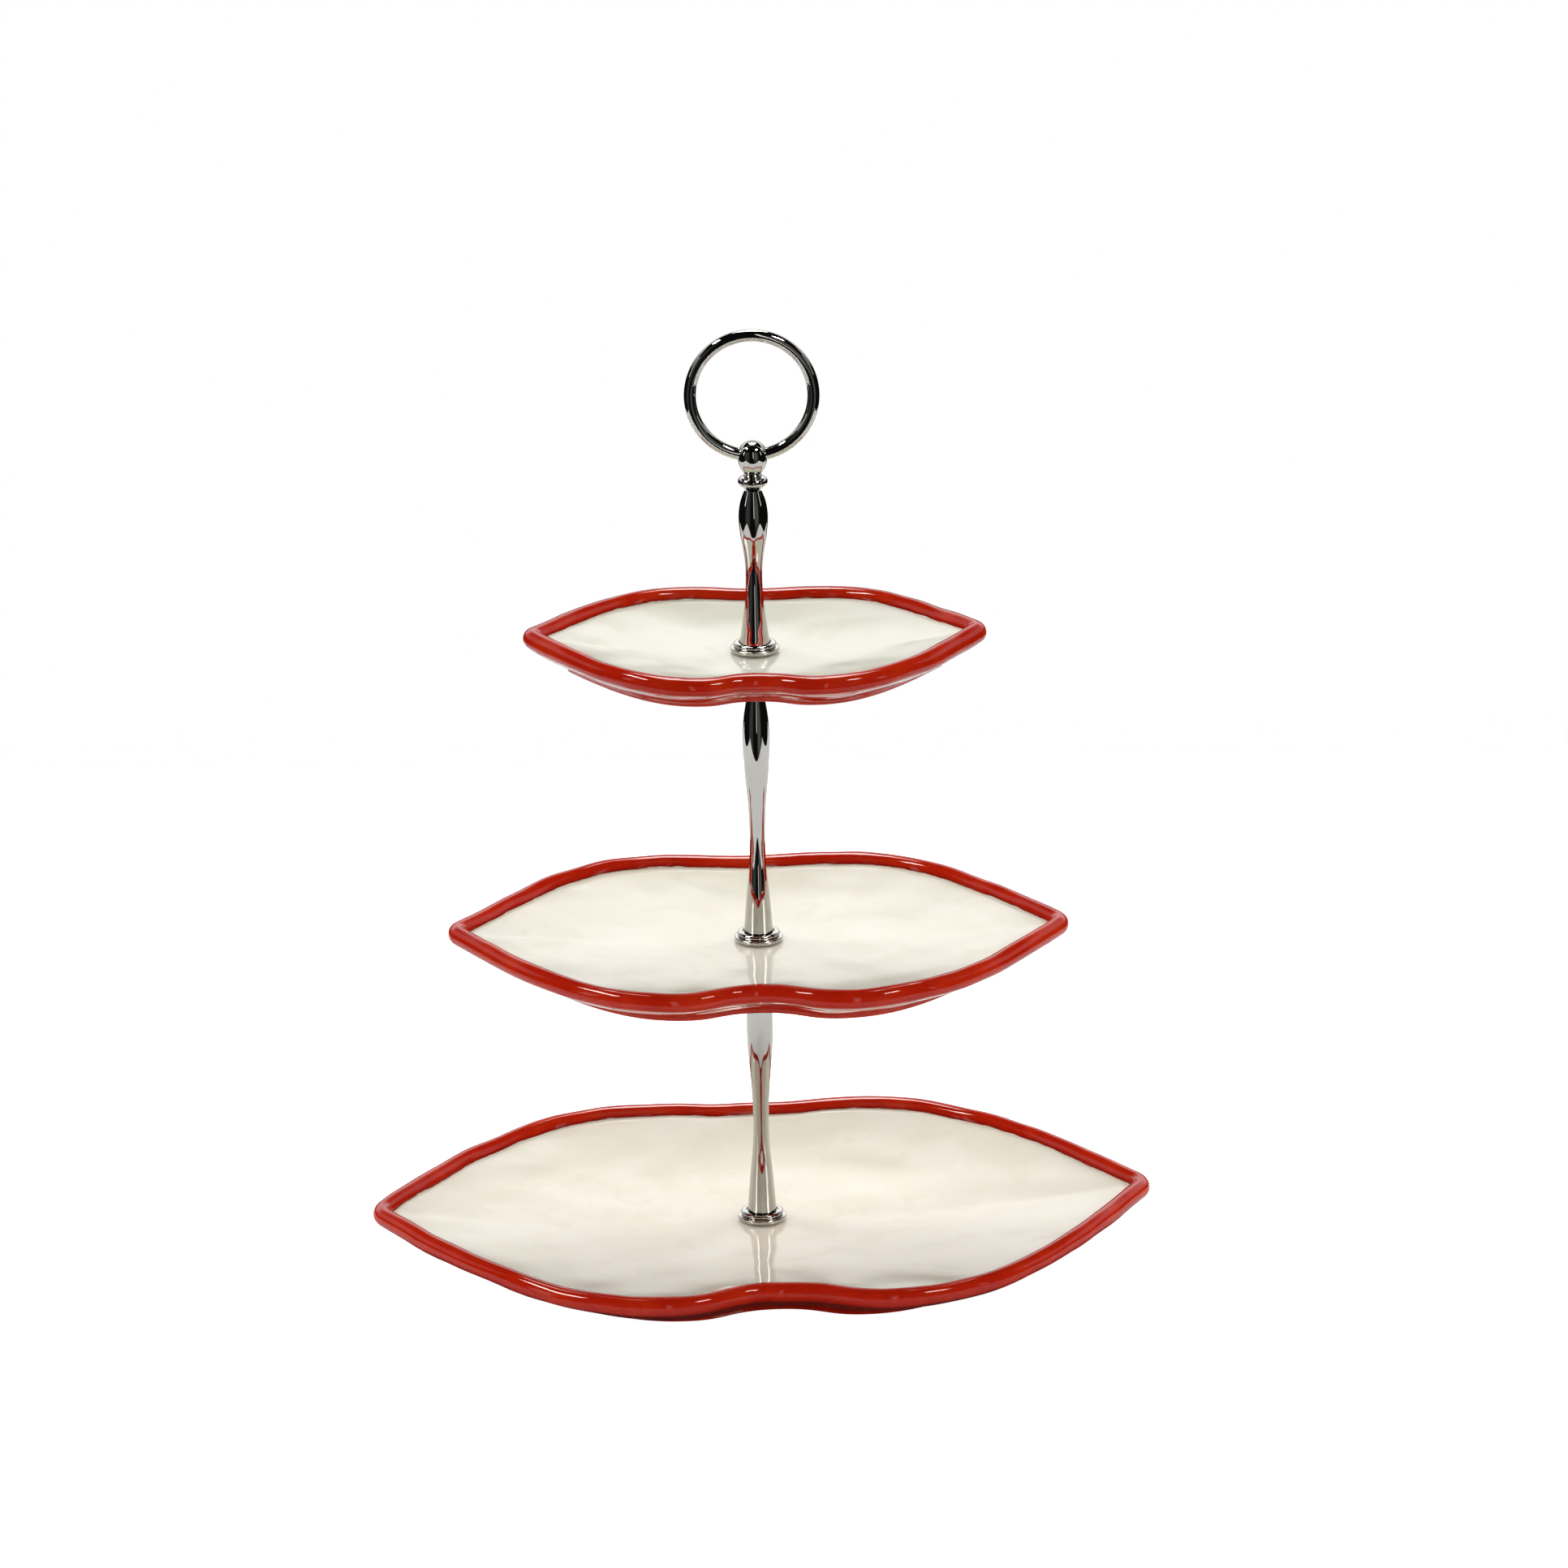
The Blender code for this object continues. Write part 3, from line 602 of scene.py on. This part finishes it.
def make_handle(lift, chrome):
    """Collar, ball and split ring. The ring's two ends meet inside the ball's cross bore."""
    bore = HANDLE_BORE_RADIUS
    top = HANDLE_COLLAR_TOP
    neck = smooth_through([(top + height * MM, radius * MM) for height, radius in HANDLE_NECK_MM],
                          SECTION_RUNS)
    collar = [*collar_section(HANDLE_COLLAR_BOTTOM, bore),
              *((radius, height) for height, radius in neck), (bore, top)]
    hand_over(make_object("handle_collar_chrome", turned(collar, lift), chrome),
              "handle_collar", "handle")

    bottom = top + GAP
    start = math.degrees(math.asin((bottom - BALL_HEIGHT) / (BALL_RADIUS * BALL_STRETCH_BELOW)))
    lower = [(radius, BALL_HEIGHT + BALL_STRETCH_BELOW * height)
             for radius, height in arc((0, 0), BALL_RADIUS, start, 0, BALL_STEPS)]
    upper = arc((0, BALL_HEIGHT), BALL_RADIUS, BALL_TOP_START, BALL_TOP_END, BALL_STEPS)
    bore_end = bottom + BALL_BORE_DEPTH
    ball = [(0, bore_end), (bore, bore_end), (bore, bottom), *lower, *upper,
            (0, BALL_HEIGHT + BALL_RADIUS)]
    ball_object = make_object("handle_ball_chrome", turned(ball, lift), chrome)
    bore_shape = ring_arc(RING_WIRE_RADIUS + GAP, -RING_BORE_SPAN, RING_BORE_SPAN,
                          RING_BORE_STEPS, lift)
    cut_away(ball_object, make_object("ring_bore_cutter", bore_shape, chrome))
    hand_over(ball_object, "handle_ball", "handle")

    ring = ring_arc(RING_WIRE_RADIUS, RING_SPLIT, 2 * math.pi - RING_SPLIT, RING_STEPS, lift)
    hand_over(make_object("handle_ring_chrome", ring, chrome),
              "handle_ring", "handle")


def make_post(tier, lift, chrome):
    """The chrome pieces between one plate and the next, or the handle."""
    body = f"{tier}_post"
    pieces = {"foot_flange": flange_profile()}
    if tier == "top":
        pieces["column"] = column_profile(TOP_COLUMN_MM, HANDLE_BORE_RADIUS)
    else:
        pieces["column"] = column_profile(LONG_COLUMN_MM, STUD_BORE_RADIUS)
        pieces["support_collar"] = support_profile()
    for name, profile in pieces.items():
        piece = make_object(f"{tier}_{name}_chrome", turned(profile, lift), chrome)
        hand_over(piece, f"{tier}_{name}", body)


# Materials


class Nodes:
    """A node tree's nodes, added and joined with few words."""

    def __init__(self, tree):
        self.tree = tree

    def add(self, kind, inputs=None, **settings):
        """A node with its settings, and inputs by name or number: an output to join, or a value."""
        made = self.tree.nodes.new(kind)
        for name, value in settings.items():
            setattr(made, name, value)
        for key, value in (inputs or {}).items():
            self.join(value, made.inputs[key])
        return made

    def join(self, value, socket):
        """Links an output to a socket, or sets the socket to a value."""
        if isinstance(value, bpy.types.NodeSocket):
            self.tree.links.new(value, socket)
        elif isinstance(value, (tuple, list)) and len(value) == 3 and socket.type == "RGBA":
            socket.default_value = (*value, 1.0)
        else:
            socket.default_value = value

    def math(self, operation, first, second=0.0):
        """The result of one operation."""
        return self.add("ShaderNodeMath", {0: first, 1: second}, operation=operation).outputs[0]

    def step(self, value, low, high, start=0.0, end=1.0):
        """A smooth step from start, at low, to end, at high."""
        ends = {"Value": value, "From Min": low, "From Max": high, "To Min": start, "To Max": end}
        made = self.add("ShaderNodeMapRange", ends, interpolation_type="SMOOTHSTEP")
        return made.outputs["Result"]

    def band(self, value, low, high, soft):
        """1 between low and high, falling to 0 over a soft edge."""
        rising = self.step(value, low - soft, low + soft)
        falling = self.step(value, high - soft, high + soft, 1.0, 0.0)
        return self.math("MULTIPLY", rising, falling)

    def mix(self, share, first, second):
        """The first colour, going over to the second as share goes from 0 to 1."""
        made = self.add("ShaderNodeMix", data_type="RGBA")
        self.join(share, made.inputs[0])
        self.join(first, made.inputs[6])
        self.join(second, made.inputs[7])
        return made.outputs[2]

    def noise(self, place, wavelength, detail=2.0, distortion=0.0):
        """Noise from about 0 to 1 whose lumps are about this far apart, in metres."""
        made = self.add("ShaderNodeTexNoise", {"Vector": place, "Scale": 1 / wavelength,
                                               "Detail": detail, "Distortion": distortion})
        return made.outputs["Fac"]

    def marks(self, place, wavelength, detail, distortion, low, high, least, most):
        """A mark that grows with noise, as described with the tables of marks."""
        return self.step(self.noise(place, wavelength, detail, distortion), low, high, least, most)

    def cells(self, place, spacing):
        """The distance to the nearest of many scattered points, in shares of their spacing."""
        made = self.add("ShaderNodeTexVoronoi", {"Vector": place, "Scale": 1 / spacing})
        return made.outputs["Distance"]

    def relief(self, place, layers):
        """The sum of layers of noise, each given as (wavelength, detail, height)."""
        (wavelength, detail, height), *others = layers
        total = self.math("MULTIPLY", self.noise(place, wavelength, detail), height)
        for wavelength, detail, height in others:
            layer = self.math("MULTIPLY", self.noise(place, wavelength, detail), height)
            total = self.math("ADD", total, layer)
        return total

    def bump(self, height, distance, shader):
        """Lays this height, in units of the distance, on the shader as a bump."""
        made = self.add("ShaderNodeBump", {"Height": height, "Distance": distance, "Strength": 1.0})
        self.join(made.outputs["Normal"], shader.inputs["Normal"])


def start_material(name):
    """A material with its nodes, its shader and the place on the object in metres."""
    material = bpy.data.materials.new(name)
    material.use_nodes = True
    nodes = Nodes(material.node_tree)
    shader = material.node_tree.nodes["Principled BSDF"]
    place = nodes.add("ShaderNodeTexCoord").outputs["Object"]
    return material, nodes, shader, place


def glazed_ceramic():
    """Ivory glaze with clouds, specks and pinholes, and brick-red glaze past the paint line."""
    material, nodes, shader, place = start_material("glazed_ceramic")
    past = nodes.add("ShaderNodeAttribute", attribute_name=PAINT_ATTRIBUTE).outputs["Fac"]
    waver = nodes.math("SUBTRACT", nodes.noise(place, *PAINT_WAVER), 0.5)
    past = nodes.math("ADD", past, nodes.math("MULTIPLY", waver, PAINT_WAVER_MM))
    past = nodes.math("ADD", past, PAINT_SHIFT_MM)
    painted = nodes.step(past, *PAINT_EDGE_MM)

    cream = nodes.mix(nodes.marks(place, *CLOUDS), CREAM, CREAM_POOLED)
    cream = nodes.mix(nodes.marks(place, *PATCHES), cream, CREAM_THIN)
    thin_line = nodes.band(past, *THIN_LINE_MM, THIN_LINE_SOFT_MM)
    cream = nodes.mix(nodes.math("MULTIPLY", thin_line, THIN_LINE_STRENGTH), cream, CREAM_THIN)
    speck_size = nodes.math("MULTIPLY", nodes.noise(place, *SPECK_VARIETY), SPECK_SIZE)
    speck = nodes.math("LESS_THAN", nodes.cells(place, SPECK_SPACING), speck_size)
    cream = nodes.mix(nodes.math("MULTIPLY", speck, SPECK_STRENGTH), cream, SPECK)

    red = nodes.mix(nodes.marks(place, *STREAKS), RED, RED_BRIGHT)
    red = nodes.mix(nodes.marks(place, *BRUSH_MARKS), red, RED_DARK)
    # The red darkens over its first millimetre and a half past the paint line.
    red_edge = nodes.step(past, 0.0, RED_EDGE_WIDTH_MM, RED_EDGE_DARKENING, 0.0)
    red = nodes.mix(red_edge, red, RED_DARK)

    nodes.join(nodes.mix(painted, cream, red), shader.inputs["Base Color"])
    nodes.join(nodes.marks(place, *GLAZE_SMEARS), shader.inputs["Roughness"])
    shader.inputs["IOR"].default_value = GLAZE_IOR
    shader.inputs["Specular IOR Level"].default_value = GLAZE_SPECULAR

    height = nodes.relief(place, GLAZE_RELIEF)
    out_of_pinholes = nodes.step(nodes.cells(place, PINHOLE_SPACING), *PINHOLE_EDGE)
    height = nodes.math("ADD", height, nodes.math("MULTIPLY", out_of_pinholes, PINHOLE_DEPTH_MM))
    height = nodes.math("MULTIPLY", height, nodes.step(past, *PAINTED_FROM_TO_MM, 1.0, PAINTED_RELIEF))
    height = nodes.math("ADD", height, nodes.math("MULTIPLY", painted, PAINT_THICKNESS_MM))
    nodes.bump(height, MM, shader)
    return material


def chrome_plate():
    """Mirror chrome over die-cast metal: faint ripples under the plate, and fine wiping marks."""
    material, nodes, shader, place = start_material("chrome_plate")
    shader.inputs["Metallic"].default_value = 1.0
    stained = nodes.mix(nodes.marks(place, *CHROME_STAINS), CHROME, CHROME_STAIN)
    nodes.join(stained, shader.inputs["Base Color"])
    nodes.join(nodes.marks(place, *WIPING_MARKS), shader.inputs["Roughness"])
    nodes.bump(nodes.relief(place, CHROME_RELIEF), MM, shader)
    return material


def plain_finish(name, colour, darker, roughness, metallic, grain, depth):
    """A mottled finish with a fine grain, for the small pieces that hold the post together."""
    material, nodes, shader, place = start_material(name)
    shader.inputs["Metallic"].default_value = metallic
    mottle = nodes.noise(place, *MOTTLE)
    mixed = nodes.mix(nodes.step(mottle, *MOTTLE_COLOUR), colour, darker)
    nodes.join(mixed, shader.inputs["Base Color"])
    rough = nodes.step(mottle, *MOTTLE_ROUGH, roughness, roughness * MOTTLE_ROUGHENS)
    nodes.join(rough, shader.inputs["Roughness"])
    nodes.bump(nodes.noise(place, grain, GRAIN_DETAIL), depth, shader)
    return material


# Stage


def make_table():
    """A plain white table top, which ends a short way in front of the stand.

    Its colour depends on the ray: one grey for the eye and for matt surfaces, others for mirrors.
    """
    builder = bmesh.new()
    corners = [(-TABLE_SIDE, -TABLE_FRONT), (TABLE_SIDE, -TABLE_FRONT),
               (TABLE_SIDE, TABLE_BACK), (-TABLE_SIDE, TABLE_BACK)]
    builder.faces.new([builder.verts.new((x, y, 0)) for x, y in corners])
    material = bpy.data.materials.new("table")
    material.use_nodes = True
    shader = material.node_tree.nodes["Principled BSDF"]
    shader.inputs["Roughness"].default_value = TABLE_ROUGHNESS
    shader.inputs["Emission Color"].default_value = (*WHITE, 1)
    nodes = Nodes(material.node_tree)
    ray = nodes.add("ShaderNodeLightPath").outputs
    place = nodes.add("ShaderNodeTexCoord").outputs["Object"]
    half_length = PLATES["bottom"]["length"] / 2
    sides = (1 / half_length, 1 / (half_length * WIDTH_TO_LENGTH), 0)
    shares = nodes.add("ShaderNodeVectorMath", {0: place, 1: sides}, operation="MULTIPLY").outputs[0]
    distance = nodes.add("ShaderNodeVectorMath", {0: shares}, operation="LENGTH").outputs["Value"]
    mirrored = nodes.step(distance, SHADE_FROM, SHADE_TO, TABLE_SHADE, TABLE_MIRRORED)
    grey = nodes.add("ShaderNodeMix", {0: ray["Is Glossy Ray"], 2: TABLE_COLOUR, 3: mirrored})
    nodes.join(grey.outputs[0], shader.inputs["Base Color"])
    glow = nodes.math("MULTIPLY", ray["Is Camera Ray"], TABLE_GLOW)
    nodes.join(glow, shader.inputs["Emission Strength"])
    make_object("table", builder, material)


def gathered_light(nodes, groups, elevation, light):
    """The given light plus the radiance of these groups of lights in the direction looked at.

    Each group is (azimuth, lights). The azimuth's absolute value makes lights stand on both sides.
    """
    for turn, lights in groups:
        for left, right, low, high, soft, strength in lights:
            box = nodes.math("MULTIPLY", nodes.band(turn, left, right, soft),
                             nodes.band(elevation, low, high, soft))
            light = nodes.math("ADD", nodes.math("MULTIPLY", box, strength), light)
    return light


def make_studio():
    """The studio as the world: white where the camera sees it, else a dim room with soft lights.

    Matt surfaces gather the broad lights, and mirrors show the narrow ones.
    """
    world = bpy.data.worlds.new("studio")
    bpy.context.scene.world = world
    world.use_nodes = True
    tree = world.node_tree
    nodes = Nodes(tree)
    seen = nodes.add("ShaderNodeTexCoord").outputs["Generated"]
    direction = nodes.add("ShaderNodeSeparateXYZ", {0: seen}).outputs
    toward_front = nodes.math("MULTIPLY", direction[1], -1.0)
    azimuth = nodes.math("DEGREES", nodes.math("ARCTAN2", direction[0], toward_front))
    away = nodes.math("ABSOLUTE", azimuth)
    elevation = nodes.math("DEGREES", nodes.math("ARCSINE", direction[2]))

    broad = gathered_light(nodes, [(away, BROAD_PAIRED)], elevation, ROOM_LIGHT)
    narrow_groups = [(away, NARROW_PAIRED), (azimuth, NARROW_SINGLE)]
    narrow = gathered_light(nodes, narrow_groups, elevation, ROOM_LIGHT)
    ray = nodes.add("ShaderNodeLightPath").outputs
    # The depth counts glossy bounces, so it is 2 or more in a reflection of a reflection.
    twice = nodes.math("GREATER_THAN", ray["Glossy Depth"], 1.5)
    streaks = gathered_light(nodes, [(away, TWICE_REFLECTED)], elevation, 0.0)
    narrow = nodes.math("ADD", narrow, nodes.math("MULTIPLY", twice, streaks))
    light = nodes.add("ShaderNodeMix", {0: ray["Is Diffuse Ray"], 2: narrow, 3: broad}).outputs[0]
    light = nodes.add("ShaderNodeMix", {0: ray["Is Camera Ray"], 2: light, 3: 1.0}).outputs[0]
    background = tree.nodes["Background"]
    background.inputs["Color"].default_value = (*WHITE, 1)
    nodes.join(light, background.inputs["Strength"])
    world.cycles.sampling_method = "NONE"


def make_camera():
    """The camera at the photograph's view: looking down, rolled a little, and turned about Z."""
    data = bpy.data.cameras.new("camera")
    data.lens = CAMERA_LENS_MM
    data.sensor_width = CAMERA_SENSOR_MM
    camera = bpy.data.objects.new("camera", data)
    bpy.context.scene.collection.objects.link(camera)
    forward = Vector((0, math.cos(CAMERA_ELEVATION), -math.sin(CAMERA_ELEVATION)))
    right = Vector((1, 0, 0))
    up = right.cross(forward)
    tilted_right = right * math.cos(CAMERA_ROLL) + up * math.sin(CAMERA_ROLL)
    tilted_up = up * math.cos(CAMERA_ROLL) - right * math.sin(CAMERA_ROLL)
    axes = Matrix((tilted_right, tilted_up, -forward)).transposed().to_4x4()
    place = Matrix.Translation(AIM - forward * CAMERA_DISTANCE)
    camera.matrix_world = Matrix.Rotation(CAMERA_TURN, 4, "Z") @ place @ axes
    bpy.context.scene.camera = camera


def build():
    """The stage, every visible piece, and the finishes of the hidden pieces."""
    make_camera()
    make_table()
    make_studio()
    bpy.context.scene.view_settings.view_transform = "Standard"

    ceramic = glazed_ceramic()
    chrome = chrome_plate()
    finishes = {name: plain_finish(name, *finish) for name, finish in PLAIN_FINISHES.items()}
    post_of = {"bottom": "base", "middle": "middle", "top": "top"}
    noise.seed_set(NOISE_SEED)
    for number, (tier, post) in enumerate(post_of.items()):
        floor_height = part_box(f"{post}_foot_flange")[0].z - GAP
        make_plate(tier, floor_height, NOISE_APART * number + NOISE_START, ceramic)
        make_post(post, floor_height, chrome)
    make_handle(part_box("top_foot_flange")[0].z - GAP, chrome)

    slots = {part["node"]: part["material_slot"] for part in frame["record"]["subparts"]}
    for name, node in frame["nodes"].items():
        if slots[name] in finishes:
            node.data.materials.clear()
            node.data.materials.append(finishes[slots[name]])


build()
